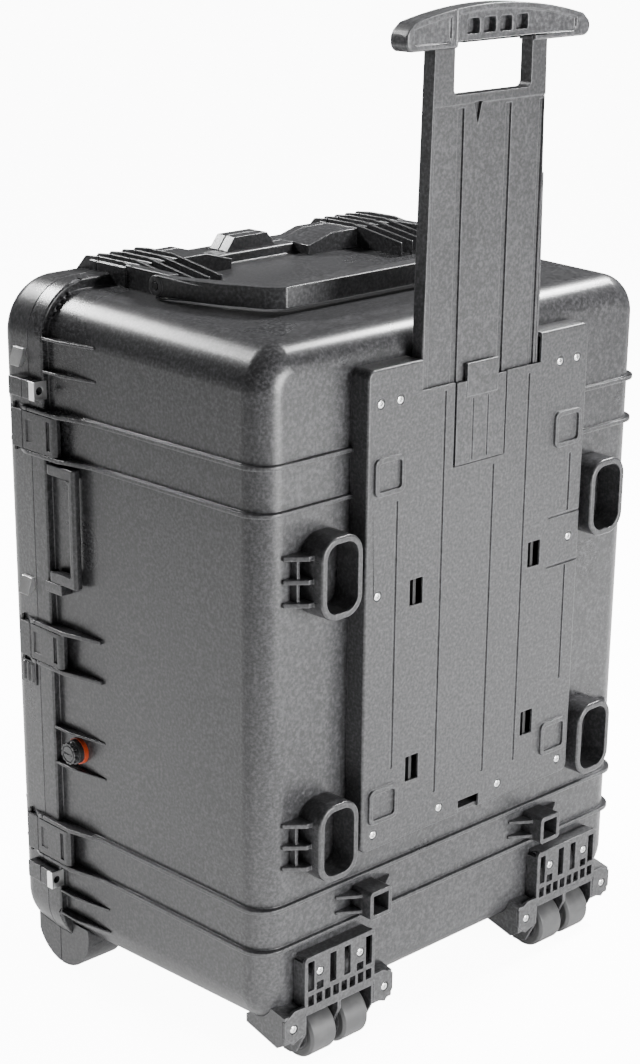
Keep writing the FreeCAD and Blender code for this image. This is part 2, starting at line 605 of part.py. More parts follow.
for side_name, side in SIDES.items():
    for place_name, (x, z) in HOUSING_SCREWS.items():
        name = f"{place_name}_{side_name}"
        bosses.append(cylinder("boss_" + name, "boss_r", "housing_out - housing_wall", (
            f"{side} * {x}", "-(housing_out - housing_wall)", z), "y"))
        seats.append(cylinder("seat_" + name, "seat_r", "seat_d + 1",
                              (f"{side} * {x}", "-(housing_out + 1)", z), "y"))
        seats.append(cylinder("shank_hole_" + name, "shank_r", "10",
                              (f"{side} * {x}", "-(housing_out + 1)", z), "y"))
        head = cylinder("head_" + name, "screw_r", "seat_d", (f"{side} * {x}", "-(housing_out + 0.2)", z),
                        "y")
        shank = cylinder("shank_" + name, "shank_r", "7", (f"{side} * {x}", "-(housing_out - 0.5)", z),
                         "y")
        screws += [head, shank]


def square_ring(name, x, z):
    outer = rounded_box(name + "_outer", (f"{x} - ring_w / 2", f"{x} + ring_w / 2"),
                        ("-(housing_out + ring_out)", "-(housing_out - 1)"),
                        (f"{z} - ring_h / 2", f"{z} + ring_h / 2"),
                        "7", "y", "1.2")
    inner = rounded_box(name + "_inner", (f"{x} - ring_w / 2 + ring_t", f"{x} + ring_w / 2 - ring_t"),
                        ("-(housing_out + 5)", "5"),
                        (f"{z} - ring_h / 2 + ring_t", f"{z} + ring_h / 2 - ring_t"), "4")
    return cut(name, outer, inner)


def housing_groove(name, x, z):
    return box(name, (f"{x} - groove_w / 2", f"{x} + groove_w / 2"),
               ("-(housing_out + 1)", "-(housing_out - groove_d)"), z)


rings = []
windows = []
for side_name, side in SIDES.items():
    for level in ("high", "low"):
        rings.append(square_ring(f"ring_{level}_{side_name}", f"{side} * ring_x", f"ring_{level}_z"))
        windows.append(box(f"window_{level}_{side_name}",
                           (f"{side} * window_x - window_w / 2", f"{side} * window_x + window_w / 2"),
                           ("-(housing_out + 1)", "-(housing_out - housing_wall - 1)"),
                           (f"window_{level}_z - window_h / 2", f"window_{level}_z + window_h / 2")))
windows.append(box("window_bottom", ("-16", "16"),
                   ("-(housing_out + 1)", "-(housing_out - housing_wall - 1)"),
                   ("housing_low - 1", "housing_low + 16")))
grooves = [
    housing_groove("groove_1", "-121", ("315", "604")), housing_groove("groove_2", "-55", ("268", "705")),
    housing_groove("groove_3", "20", ("270", "615")), housing_groove("groove_4", "70.5", ("268", "702")),
    housing_groove("groove_5", "142", ("346", "478")), housing_groove("groove_6", "142", ("540", "604"))]
tab_steps = [
    box("tab_step_top", ("112", "164"), ("-(housing_out + 1)", "-(housing_out - groove_d)"),
        ("536", "538.5")),
    box("tab_step_low", ("112", "164"), ("-(housing_out + 1)", "-(housing_out - groove_d)"),
        ("480", "482.5"))]
housing_hollow = cut("housing_hollow", housing_inner, *bosses)
node("trolley_housing", cut("trolley_housing", fuse("housing_raw", housing_block, *rings), base_solid,
                            housing_hollow, handle_way, top_step, release_way, *seats, *windows, *grooves,
                            *tab_steps))
node("trolley_screws", fuse("trolley_screws", *screws))

# ---------------------------------------------------------------- trolley release panel

panel_x = ("release_x - release_half", "release_x + release_half")
panel = box("panel_plate", panel_x, ("-(housing_out + 0.5)", "-(plate_front + 0.5)"),
            ("release_low + 0.6", "slot_low - 1"))
panel_tab = rounded_box("panel_tab", ("release_x - 23", "release_x + 23"),
                        ("-(housing_out + 1.5)", "-(plate_front + 0.5)"),
                        ("release_low + 70", "slot_low + 17"), "2", "x")
panel_lines = [
    box(f"panel_line_{i}", (f"release_x - 13 + {i} * 22", f"release_x - 11 + {i} * 22"),
        ("-(housing_out + 2)", "-(housing_out - 1)"), ("release_low + 4", "slot_low - 20"))
    for i in (0, 1)]
release_bore = cylinder("release_bore", "0.9 + running_fit", "90",
                        ("release_x - 45", "-(housing_out - 1.2)", "release_low + 3"), "x")
node("trolley_release",
     cut("trolley_release", fuse("release_raw", panel, panel_tab), *panel_lines, release_bore))
node("release_pin", cylinder("release_pin", "0.9", "2 * release_half + 1", (
    "release_x - release_half - 0.5", "-(housing_out - 1.2)", "release_low + 3"), "x"))

# ---------------------------------------------------------------- trolley guides, handle and grip

guide_shapes = [
    box(f"guide_{name}", sided(side, ("slot_half", "slot_half + guide_t")),
        ("-(housing_out - housing_wall) + 0.05", "-1"), ("guide_low", "guide_high - 22"))
    for name, side in SIDES.items()]
node("trolley_guides", cut("trolley_guides", fuse("guides_raw", *guide_shapes), base_solid))

plate = rounded_box("handle_plate", ("-plate_half", "plate_half"),
                    ("-plate_front", "-plate_front + plate_t"),
                    ("plate_low", "plate_high"), "2.5", "z")
hand_hole = rounded_box("hand_hole", ("hand_x - hand_half", "hand_x + hand_half"), ("-40", "10"),
                        ("hand_low", "hand_high"), "hand_r")
plate_grooves = [
    box(f"plate_groove_{i}", (f"{x} - {width} / 2", f"{x} + {width} / 2"),
        ("-(plate_front + 1)", "-(plate_front - 4)"),
        ("plate_low - 1", "plate_step_z - 4"))
    for i, (x, width) in enumerate((("-40", "9"), ("28", "8"), ("77", "6.5")))]
plate_step = box("plate_step", ("-plate_half + plate_rail", "plate_half - 4"),
                 ("-(plate_front + 1)", "-(plate_front - plate_sunk)"), ("plate_low - 1", "plate_step_z"))
notch = prism("plate_notch", "XZ",
              [("-22", "plate_step_z + 1"), ("-11", "plate_step_z + 1"), ("-16", "plate_step_z - 20")],
              ("-(plate_front + 1)", "-(plate_front - 5)"))
plate_tapers = [
    prism(f"plate_taper_{name}", "XZ",
          [(flip(side, "plate_half"), "housing_high"), (flip(side, "plate_half + 6"), "housing_high"),
           (flip(side, "plate_half + 6"), "plate_high + 1"),
           (flip(side, "plate_top_half"), "plate_high + 1")],
          ("-(plate_front + 1)", "1"))
    for name, side in SIDES.items()]
back_pockets = [
    box(f"plate_pocket_{i}", (f"-74 + {i} * 38", f"-40 + {i} * 38"), ("-plate_front + plate_t - 7", "5"),
        ("plate_low + 12", "plate_step_z - 6"))
    for i in range(4)]
node("trolley_handle",
     cut("trolley_handle", plate, hand_hole, plate_step, notch, *plate_tapers, *plate_grooves,
         *back_pockets))

arch_r = "(grip_half * grip_half + grip_rise * grip_rise) / (2 * grip_rise)"
grip_box = rounded_box("grip_box", ("-grip_left", "grip_half"), ("-grip_front", "-grip_front + grip_t"),
                       ("grip_low", "grip_top + 20"), "grip_end_r", "y", "3")
grip_arch = cylinder("grip_arch", arch_r, "80", ("0", "-50", f"grip_top - {arch_r}"), "y")
grip_fit = box("grip_fit", ("-plate_top_half - 0.2", "plate_top_half + 0.2"),
               ("-plate_front - 0.1", "-plate_front + plate_t + 0.1"),
               ("0", "plate_high"))
grip_front_cut = box("grip_front_cut", ("hand_x - hand_half", "hand_x + hand_half"), ("-60", "20"),
                     ("0", "hand_high - 1"))
grip_corners = [
    prism("grip_corner_left", "XZ", [("-grip_left - 1", "1048"), ("-grip_left + 3", "1055"),
                                     ("-grip_left + 12", "1062"), ("-grip_left - 1", "1070")],
          ("-60", "20")),
    prism("grip_corner_right", "XZ", [("grip_half + 1", "1043"), ("grip_half - 3", "1050"),
                                      ("grip_half - 12", "1057.6"), ("grip_half + 1", "1068")],
          ("-60", "20"))]
grip_rim_arch = cylinder("grip_rim_arch", f"{arch_r} - grip_rim", "80",
                         ("0", "-50", f"grip_top - {arch_r}"), "y")


def grip_band(name, x):
    """Sunken band of the grip's face, inside an even rim under its arched top."""
    block = rounded_box(name + "_block", x, ("-60", "-(grip_front - grip_sunk)"),
                        ("grip_low + grip_rim", "grip_top + 20"), "4")
    return common(name, block, grip_rim_arch)


grip_pockets = [grip_band("grip_band_right", ("-50", "grip_half - 22")),
                grip_band("grip_band_left", ("-(grip_left - 10)", "-62"))]
grip_pockets += [
    rounded_box(f"grip_window_{i}", (f"-38 + {i} * 23", f"-21 + {i} * 23"), ("-60", "-(grip_front - 11)"),
                ("1047", "1061"), "2.5")
    for i in range(4)]
grip_seam = box("grip_seam", ("-56", "-54.6"), ("-60", "-(grip_front - 1)"), ("1030", "1080"))
node("trolley_grip",
     cut("trolley_grip", common("grip_raw", grip_box, grip_arch), grip_fit, grip_front_cut, grip_seam,
         *grip_corners, *grip_pockets))

# ---------------------------------------------------------------- wheel brackets

bracket_screws = []
for side_name, side in SIDES.items():
    centre = f"{side} * bracket_x"
    name = f"wheel_bracket_{side_name}"
    front = ("-bracket_front", "-(bracket_front - bracket_skin)")
    body_shapes = [
        rounded_box(name + "_plate", (f"{centre} - bracket_half", f"{centre} + bracket_half"), front,
                    ("bracket_low", "bracket_high"), "5", "y", "1"),
        box(name + "_top", (f"{centre} - bracket_half + 4", f"{centre} + bracket_half - 4"),
            ("-(bracket_front - 1)", "14"), ("bracket_high - 3.5", "bracket_high"))]
    for i in (-1, 1):
        edge = f"{centre} + {i} * (bracket_half - cheek_t / 2)"
        cheek = [("-(bracket_front - 1)", "bracket_high - 6"), ("-(bracket_front - 1)", "40"),
                 ("-3", "14"),
                 ("wheel_depth - 4", "10"), ("wheel_depth + 6", "10"), ("46", "44"), ("46", "52"),
                 ("8", "80"),
                 ("8", "bracket_high - 6")]
        body_shapes.append(prism(f"{name}_cheek_{i + 1}", "YZ", cheek,
                                 (f"{edge} - cheek_t / 2", f"{edge} + cheek_t / 2")))
        ear = [(f"{centre} + {i} * (bracket_half - 1)", "74"),
               (f"{centre} + {i} * (ear_half - 14)", "74"),
               (f"{centre} + {i} * ear_half", "66"), (f"{centre} + {i} * ear_half", "46"),
               (f"{centre} + {i} * (ear_half - 12)", "35"),
               (f"{centre} + {i} * (bracket_half - 1)", "42")]
        body_shapes.append(prism(f"{name}_ear_{i + 1}", "XZ", ear,
                                 ("-bracket_front", "-(bracket_front - bracket_skin)")))
        x0 = f"{centre} + {i} * (bracket_half + ear_half) / 2"
        half = "(ear_half - bracket_half) / 2"
        skirt = [("-(bracket_front - 1)", "70"), ("-(bracket_front - 1)", "38"), ("-4", "30"),
                 ("44", "42"), ("44", "52"),
                 ("4", "74")]
        body_shapes.append(prism(f"{name}_skirt_{i + 1}", "YZ", skirt,
                                 (f"{x0} - {half} + 0.2", f"{x0} + {half} - 1")))
    middle = [("-(bracket_front - 1)", "bracket_high - 6"), ("-(bracket_front - 1)", "52"), ("-8", "34"),
              ("wheel_depth - 6", "20"), ("wheel_depth + 6", "20"), ("34", "44"), ("8", "80"),
              ("8", "bracket_high - 6")]
    body_shapes.append(prism(f"{name}_middle", "YZ", middle, (f"{centre} - 2.5", f"{centre} + 2.5")))
    openings = [cylinder(name + "_axle_bore", "axle_r", "120",
                         (f"{centre} - 60", "wheel_depth", "wheel_r"), "x")]
    pitch = "(2 * bracket_half - 6) / 8"
    through = ("-(bracket_front + 1)", "-(bracket_front - bracket_skin - 0.1)")
    for i in range(8):
        x0 = f"{centre} - bracket_half + 3 + ({i} + 0.5) * {pitch}"
        openings.append(box(f"{name}_square_{i}", (f"{x0} - 4.2", f"{x0} + 4.2"), through, ("72", "84")))
    for i, dx in enumerate(("-42.4", "-10.5", "10.5", "42.4")):
        openings.append(box(f"{name}_slot_{i}", (f"{centre} + {dx} - 4.6", f"{centre} + {dx} + 4.6"),
                            through,
                            ("90", "124")))
    for i in (-1, 1):
        x0 = f"{centre} + {i} * top_screw_dx"
        openings.append(box(f"{name}_port_{i + 1}", (f"{x0} - 5", f"{x0} + 5"), through, ("88", "97")))
        collar = cylinder(f"{name}_collar_{i + 1}", "8", "12", (x0, "-bracket_front", "top_screw_z"), "y")
        body_shapes.append(collar)
        for dx, z in (("top_screw_dx", "top_screw_z"), ("ear_screw_dx", "ear_screw_z")):
            spot = (f"{centre} + {i} * {dx}", "-(bracket_front + 1)", z)
            tag = f"{name}_{dx}_{i + 1}"
            openings.append(cylinder(tag + "_seat", "5.6", "3", spot, "y"))
            openings.append(cylinder(tag + "_hole", "shank_r", "11", spot, "y"))
            head = cylinder(tag + "_head", "4.4", "1.8", (spot[0], "-(bracket_front - 0.2)", z), "y")
            shank = cylinder(tag + "_shank", "shank_r", "7", (spot[0], "-(bracket_front - 1.9)", z), "y")
            bracket_screws += [head, shank]
    wheel_ways = [
        cylinder(f"{name}_way_{i + 1}", "wheel_r + 2.5", "wheel_w + 2",
                 (f"{centre} + {i} * wheel_dx - wheel_w / 2 - 1", "wheel_depth", "wheel_r"), "x")
        for i in (-1, 1)]
    node(name, cut(name, fuse(name + "_raw", *body_shapes), base_solid, *wheel_ways, *openings))
    node(f"wheel_axle_{side_name}", cylinder(f"wheel_axle_{side_name}", "axle_r", "2 * bracket_half",
                                             (f"{centre} - bracket_half", "wheel_depth", "wheel_r"), "x"))
    for place_name, i in (("outer", side), ("inner", -side)):
        tag = f"{side_name}_{place_name}"
        x0 = f"{centre} + {i} * wheel_dx - wheel_w / 2"
        tyre_body = doc.addObject("PartDesign::Body", f"tyre_{tag}")
        tyre_disc = tyre_body.newObject("PartDesign::AdditiveCylinder", f"tyre_disc_{tag}")
        bind(tyre_disc, Radius="wheel_r", Height="wheel_w")
        doc.recompute()
        rims = [f"Edge{n}" for n, edge in enumerate(tyre_disc.Shape.Edges, start=1)
                if isinstance(edge.Curve, Part.Circle)]
        chamfer = tyre_body.newObject("PartDesign::Chamfer", f"tyre_chamfer_{tag}")
        chamfer.Base = (tyre_disc, rims)
        bind(chamfer, Size="3")
        place(tyre_body, x0, "wheel_depth", "wheel_r", ((0, 1, 0), 90))
        hub_space = cylinder(f"hub_space_{tag}", "hub_r", "wheel_w + 2",
                             (f"{x0} - 1", "wheel_depth", "wheel_r"), "x")
        node(f"wheel_tyre_{tag}", cut(f"wheel_tyre_{tag}", tyre_body, hub_space))
        hub = cylinder(f"hub_disc_{tag}", "hub_r", "wheel_w", (x0, "wheel_depth", "wheel_r"), "x")
        hub_bore = cylinder(f"hub_bore_{tag}", "axle_r + running_fit", "wheel_w + 2",
                            (f"{x0} - 1", "wheel_depth", "wheel_r"), "x")
        hub_faces = []
        for n, start in enumerate((f"{x0} - 1", f"{x0} + wheel_w - 4")):
            ring = cylinder(f"hub_face_{tag}_{n}", "hub_r - 2.5", "5", (start, "wheel_depth", "wheel_r"),
                            "x")
            core = cylinder(f"hub_core_{tag}_{n}", "8", "7", (f"{start} - 1", "wheel_depth", "wheel_r"),
                            "x")
            hub_faces.append(cut(f"hub_dish_{tag}_{n}", ring, core))
        node(f"wheel_hub_{tag}", cut(f"wheel_hub_{tag}", hub, hub_bore, *hub_faces))
node("bracket_screws", fuse("bracket_screws", *bracket_screws))

# ---------------------------------------------------------------- pressure valve

valve_body = cylinder("valve_barrel", "valve_r", "valve_face_x - half_back",
                      ("-valve_face_x", "valve_depth", "valve_z"), "x")
valve_bore = cylinder("valve_bore", "valve_stem_r + running_fit", "14",
                      ("-(valve_face_x + 1)", "valve_depth", "valve_z"), "x")
node("valve_body", cut("valve_body", valve_body, base_solid, valve_bore))
ring_outer = cylinder("valve_ring_outer", "valve_ring_r", "13",
                      ("-(valve_face_x - 6)", "valve_depth", "valve_z"), "x")
node("valve_ring", cut("valve_ring", ring_outer, valve_body, base_solid))
knob_disc = cylinder("valve_knob_disc", "valve_knob_r", "valve_knob_x - valve_face_x - 0.3",
                     ("-valve_knob_x", "valve_depth", "valve_z"), "x")
knob_stem = cylinder("valve_knob_stem", "valve_stem_r", "valve_stem_length",
                     ("-(valve_face_x + 1)", "valve_depth", "valve_z"), "x")
knob_flutes = []
for i in range(12):
    angle = 2 * math.pi * i / 12
    knob_flutes.append(cylinder(f"knob_flute_{i}", "1.3", "5", (
        "-(valve_knob_x + 1)", f"valve_depth + valve_knob_r * {math.cos(angle):.5f}",
        f"valve_z + valve_knob_r * {math.sin(angle):.5f}"), "x"))
knob_slot = box("knob_slot", ("-(valve_knob_x + 1)", "-(valve_knob_x - 1.2)"),
                ("valve_depth - 7", "valve_depth + 7"), ("valve_z - 1.2", "valve_z + 1.2"))
knob_groove = cut("knob_groove",
                  cylinder("knob_groove_outer", "valve_knob_r - 2.6", "2.2",
                           ("-(valve_knob_x + 1)", "valve_depth", "valve_z"), "x"),
                  cylinder("knob_groove_inner", "valve_knob_r - 3.8", "4",
                           ("-(valve_knob_x + 2)", "valve_depth", "valve_z"), "x"))
node("valve_knob",
     cut("valve_knob", fuse("knob_raw", knob_disc, knob_stem), knob_slot, knob_groove, *knob_flutes))

# ---------------------------------------------------------------- padlock lugs and steel plates

lug_shapes = {"padlock_lugs": [], "padlock_lid_lugs": [], "padlock_plates": []}
for level in ("high", "low"):
    z = f"lug_{level}_z"
    z_pair = (f"{z} - lug_h / 2", f"{z} + lug_h / 2")
    moulded_x = ("-lug_out + lug_plate_t", "-lug_in")
    lug_shapes["padlock_lugs"].append(
        box(f"base_lug_{level}", moulded_x, ("lug_back", "seam_depth - 0.3"), z_pair))
    lug_shapes["padlock_lid_lugs"].append(
        box(f"lid_lug_{level}", moulded_x, ("seam_depth + lid_gap", "lug_front"), z_pair))
    lug_shapes["padlock_plates"] += [
        box(f"lug_back_plate_{level}", ("-lug_out", "-flange_half + 5"),
            ("lug_back - lug_plate_t", "lug_back"), z_pair),
        box(f"lug_side_plate_{level}", ("-lug_out", "-lug_out + lug_plate_t"),
            ("lug_back - lug_plate_t", "lug_back + lug_plate_side"), z_pair)]
for label, shapes in lug_shapes.items():
    beside = lid_block if label == "padlock_lid_lugs" else base_solid
    node(label, cut(label, fuse(label + "_raw", *shapes), beside, *padlock_holes))
steel_guards = [
    prism(f"steel_guard_{i}", "XZ", [("-296", f"{z} + 9"), ("-302", f"{z} + 9"), ("-309", f"{z} - 9"),
                                     ("-304", f"{z} - 9"), ("-296", f"{z} + 1")], ("343", "361"))
    for i, z in enumerate(("715", "463"))]
node("steel_guards", cut("steel_guards", fuse("steel_guards_raw", *steel_guards), lid_block))

# ---------------------------------------------------------------- top handle brackets and handle

top_brackets = []
lid_top_brackets = []
pin_holes = []
for side_name, side in SIDES.items():
    block_outline = [
        (flip(side, "top_bracket_low_x"), "770"), (flip(side, "top_bracket_low_x"), "flange_high"),
        (flip(side, "top_bracket_in"), "top_bracket_high"),
        (flip(side, "top_bracket_out"), "top_bracket_high"),
        (flip(side, "top_bracket_out"), "770")]
    top_brackets.append(prism(f"top_block_{side_name}", "XZ", block_outline,
                              ("top_bracket_back + 30", "seam_depth - 0.3")))
    lid_top_brackets.append(prism(f"lid_top_block_{side_name}", "XZ", block_outline, (LID_START, "352")))
    top_brackets.append(box(f"top_lug_{side_name}", sided(side, ("top_lug_in", "top_lug_out")),
                            ("top_pivot_depth - 8", "top_bracket_back + 31"),
                            ("770", "top_bracket_high + 2")))
    for i in range(5):
        x0 = f"top_rib_first + {i} * top_rib_pitch"
        x_pair = sided(side, (f"{x0}", f"{x0} + top_rib_t"))
        rib = [("222", "770"), ("222", "796"), ("300", "rib_high"), ("seam_depth - 0.3", "rib_high"),
               ("seam_depth - 0.3", "770")]
        top_brackets.append(prism(f"top_rib_{side_name}_{i}", "YZ", rib, x_pair))
        lid_rib = [(LID_START, "770"), (LID_START, "rib_high"), ("362", "rib_high - 2"), ("384", "784"),
                   ("384", "770")]
        lid_top_brackets.append(prism(f"lid_top_rib_{side_name}_{i}", "YZ", lid_rib, x_pair))
    pin_holes.append(cylinder(f"top_pin_hole_{side_name}", "top_pin_r", "30",
                              ("192" if side > 0 else "-222", "top_pivot_depth", "top_pivot_z"), "x"))
middle_tab = [("-36", "770"), ("-36", "flange_high"), ("-24", "rib_high"), ("24", "rib_high"),
              ("36", "flange_high"), ("36", "770")]
top_brackets.append(prism("top_middle_tab", "XZ", middle_tab, ("flange_depth + 8", "seam_depth - 0.3")))
lid_top_brackets.append(prism("lid_middle_tab", "XZ", middle_tab, ("seam_depth + lid_gap", "354")))
node("handle_brackets",
     cut("handle_brackets", fuse("handle_brackets_raw", *top_brackets), base_solid, *pin_holes))
node("lid_brackets", cut("lid_brackets", fuse("lid_brackets_raw", *lid_top_brackets), lid_block))

HANDLE_OUTER = [("top_arm_out", "top_pivot_depth"), ("top_arm_out - 1", "216"), ("198", "156"),
                ("176", "108"), ("160", "95")]
HANDLE_INNER = [("148", "114"), ("161", "122"), ("184", "166"), ("top_arm_in", "222"),
                ("top_arm_in", "top_pivot_depth")]


def across(points):
    """Outline points of the left half, from those of the right half."""
    return [(f"-({x})", depth) for x, depth in reversed(points)]


handle_bar = prism("handle_bar", "XY",
                   HANDLE_OUTER + across(HANDLE_OUTER) + across(HANDLE_INNER) + HANDLE_INNER,
                   ("top_pivot_z - top_arm_r", "top_pivot_z + top_arm_r"))
handle_eyes = []
handle_bores = []
for side_name, side in SIDES.items():
    start = "top_arm_in" if side > 0 else "-top_arm_out"
    handle_eyes.append(cylinder(f"handle_eye_{side_name}", "top_arm_r", "top_arm_out - top_arm_in",
                                (start, "top_pivot_depth", "top_pivot_z"), "x"))
    handle_bores.append(cylinder(f"handle_bore_{side_name}", "top_pin_r + running_fit", "20",
                                 (f"{start} - 5", "top_pivot_depth", "top_pivot_z"), "x"))
node("top_handle", cut("top_handle", fuse("top_handle_raw", handle_bar, *handle_eyes), *handle_bores))
node("top_handle_pins", fuse("top_handle_pins", *[
    cylinder(f"top_pin_{name}", "top_pin_r", "25",
             ("192" if side > 0 else "-217", "top_pivot_depth", "top_pivot_z"), "x")
    for name, side in SIDES.items()]))

# ---------------------------------------------------------------- side carry handle

arm_x = ("-(side_pivot_x + side_arm_r)", "-(side_pivot_x - side_arm_r)")
side_bar = rounded_box("side_bar", arm_x, ("side_bar_depth", "side_bar_depth + side_bar_w"),
                       ("side_low_z", "side_high_z"), "4", "z")
side_shapes = [side_bar]
for name, pair in (("low", ("side_low_z", "side_low_z + side_arm_h")),
         ("high", ("side_high_z - side_arm_h", "side_high_z"))):
    side_shapes.append(box(f"side_arm_{name}", arm_x, ("side_bar_depth + 5", "side_pivot_depth"), pair))
    side_shapes.append(cylinder(f"side_eye_{name}", "side_arm_r", "side_arm_h",
                                ("-side_pivot_x", "side_pivot_depth", pair[0])))
side_bore = cylinder("side_bore", "side_pin_r + running_fit", "200",
                     ("-side_pivot_x", "side_pivot_depth", "460"))
node("side_handle", cut("side_handle", fuse("side_handle_raw", *side_shapes), side_bore))
side_mount = box("side_mount_block", ("-303", "-280"), ("290", "flange_depth + 2"),
                 ("side_low_z - 12", "side_low_z - 0.6"))
side_mount_bore = cylinder("side_mount_bore", "side_pin_r", "40",
                           ("-side_pivot_x", "side_pivot_depth", "450"))
node("side_handle_mount", cut("side_handle_mount", side_mount, base_solid, side_mount_bore))
node("side_handle_pins", fuse("side_handle_pins",
                              cylinder("side_pin_low", "side_pin_r", "20",
                                       ("-side_pivot_x", "side_pivot_depth", "side_low_z - 10")),
                              cylinder("side_pin_high", "side_pin_r", "18",
                                       ("-side_pivot_x", "side_pivot_depth", "side_high_z - 10.5"))))

# ---------------------------------------------------------------- checks and export

doc.recompute()
for obj in doc.Objects:
    if {"Invalid", "Error"} & set(obj.State):
        raise RuntimeError(f"{obj.Name} did not build: {obj.State}")
for obj in nodes:
    if obj.Shape.isNull() or not obj.Shape.isValid():
        raise RuntimeError(f"{obj.Label} has no valid shape")

os.makedirs("parts", exist_ok=True)
for obj in nodes:
    obj.Shape.exportStep(f"parts/{obj.Label}.step")
print(len(nodes), "sub-parts")
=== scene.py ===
import json
import math

import bmesh
import bpy
from mathutils import Matrix, Vector


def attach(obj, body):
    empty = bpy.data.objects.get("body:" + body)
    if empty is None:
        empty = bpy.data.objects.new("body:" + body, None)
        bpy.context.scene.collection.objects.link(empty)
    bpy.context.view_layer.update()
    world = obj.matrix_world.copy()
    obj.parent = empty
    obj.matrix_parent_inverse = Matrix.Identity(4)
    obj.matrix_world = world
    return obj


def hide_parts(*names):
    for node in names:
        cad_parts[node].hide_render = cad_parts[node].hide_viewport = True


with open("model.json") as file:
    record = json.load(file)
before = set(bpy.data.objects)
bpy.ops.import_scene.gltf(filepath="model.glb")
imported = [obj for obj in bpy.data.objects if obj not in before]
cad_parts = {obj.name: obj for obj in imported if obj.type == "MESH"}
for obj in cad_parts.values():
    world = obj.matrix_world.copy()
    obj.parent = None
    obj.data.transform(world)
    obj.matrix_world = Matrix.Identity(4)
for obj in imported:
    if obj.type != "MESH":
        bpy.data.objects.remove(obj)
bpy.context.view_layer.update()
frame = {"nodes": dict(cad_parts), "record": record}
NODES = frame["nodes"]
MM = 0.001
UNIT = (0.0, 1.0)


# ---------------------------------------------------------------- shader helpers

EDGE_SAMPLES = 4
EDGE_TURN = (0.995, 0.85)


def grey(level, tint=1.0):
    return (level, level, level * tint, 1.0)


def set_range(node, source, target):
    """Fill in the two ranges of a Map Range node."""
    for name, number in zip(("From Min", "From Max", "To Min", "To Max"), (*source, *target)):
        node.inputs[name].default_value = number


class Shader:
    """A material's node tree, with short calls for the nodes that the finishes share."""

    def __init__(self, name):
        self.material = bpy.data.materials.new(name)
        self.material.use_nodes = True
        self.tree = self.material.node_tree
        self.surface = self.tree.nodes["Principled BSDF"]
        self.place = self.add("ShaderNodeTexCoord").outputs["Object"]

    def add(self, kind, **settings):
        made = self.tree.nodes.new(kind)
        for key, setting in settings.items():
            setattr(made, key, setting)
        return made

    def join(self, source, target):
        self.tree.links.new(source, target)

    def paint(self, name, source):
        """Link a socket of the surface to what decides it."""
        self.join(source, self.surface.inputs[name])

    def feed(self, socket, value):
        """Link a socket to another, or set it to a number or colour."""
        if isinstance(value, bpy.types.NodeSocket):
            self.join(value, socket)
        else:
            socket.default_value = value

    def noise(self, scale, detail=3.0, rough=0.55, stretch=None):
        made = self.add("ShaderNodeTexNoise")
        made.inputs["Scale"].default_value = scale
        made.inputs["Detail"].default_value = detail
        made.inputs["Roughness"].default_value = rough
        source = self.place
        if stretch:
            mapping = self.add("ShaderNodeMapping")
            mapping.inputs["Scale"].default_value = stretch
            self.join(self.place, mapping.inputs["Vector"])
            source = mapping.outputs["Vector"]
        self.join(source, made.inputs["Vector"])
        return made.outputs["Fac"]

    def cells(self, scale):
        made = self.add("ShaderNodeTexVoronoi", feature="SMOOTH_F1")
        made.inputs["Scale"].default_value = scale
        self.join(self.place, made.inputs["Vector"])
        return made.outputs["Distance"]

    def remap(self, value, source, target=UNIT):
        """Carry a value from one range to another, and hold it inside the second."""
        made = self.add("ShaderNodeMapRange")
        set_range(made, source, target)
        self.join(value, made.inputs["Value"])
        return made.outputs["Result"]

    def maths(self, operation, first, second):
        made = self.add("ShaderNodeMath", operation=operation)
        self.feed(made.inputs[0], first)
        self.feed(made.inputs[1], second)
        return made.outputs["Value"]

    def mix(self, share, first, second):
        made = self.add("ShaderNodeMix", data_type="RGBA")
        self.feed(made.inputs["Factor"], share)
        self.feed(made.inputs["A"], first)
        self.feed(made.inputs["B"], second)
        return made.outputs["Result"]

    def edges(self, radius):
        """1 where the surface turns sharply within a radius, and 0 on flat stretches."""
        soft = self.add("ShaderNodeBevel", samples=EDGE_SAMPLES)
        soft.inputs["Radius"].default_value = radius
        geometry = self.add("ShaderNodeNewGeometry")
        dot = self.add("ShaderNodeVectorMath", operation="DOT_PRODUCT")
        self.join(soft.outputs["Normal"], dot.inputs[0])
        self.join(geometry.outputs["Normal"], dot.inputs[1])
        return self.remap(dot.outputs["Value"], EDGE_TURN)

    def relief(self, height, depth_mm):
        made = self.add("ShaderNodeBump")
        made.inputs["Distance"].default_value = depth_mm * MM
        made.inputs["Strength"].default_value = 1.0
        self.join(height, made.inputs["Height"])
        self.paint("Normal", made.outputs["Normal"])


# ---------------------------------------------------------------- moulded plastic
# A tone is a multiple of the finish's own level. A fade is the range of noise over which a mark comes in.

PLASTIC_TINT = 1.05

SLOW_SCALE = 6.0
SLOW_FADE = (0.3, 0.7)
SLOW_DARK_TONE = 0.86
SLOW_PALE_TONE = 1.16

SPECK_FADE = (0.42, 0.68)
SPECK_SHARE = 0.6
SPECK_TONE = 2.2
SPECK_HEIGHT = 0.6

MOTTLE_MM = 3.2
MOTTLE_DARK_FADE = (0.52, 0.34)
MOTTLE_DARK_SHARE = 0.7
MOTTLE_DARK_TONE = 0.45
MOTTLE_PALE_FADE = (0.54, 0.72)
MOTTLE_PALE_SHARE = 0.8
MOTTLE_PALE_TONE = 2.4

SCUFF_SCALE = 38.0
SCUFF_STRETCH = (1.0, 1.0, 3.5)
SCUFF_FADE = (0.56, 0.78)
SCUFF_ROUGH = 0.10

# Edges painted lighter in patches: partly worn plastic, partly a painted highlight standing in for the
# light lines along edges and grooves.
WORN_HIGHLIT_EDGE_MM = 2.2
WORN_HIGHLIT_PATCH_SCALE = 70.0
WORN_HIGHLIT_PATCH_FADE = (0.35, 0.65)
WORN_HIGHLIT_LEAST = 0.25
WORN_HIGHLIT_TONE = 4.0
WORN_HIGHLIT_LIFT = 0.03

ROUGH_FADE = (0.25, 0.75)
ROUGH_SWING = 0.05


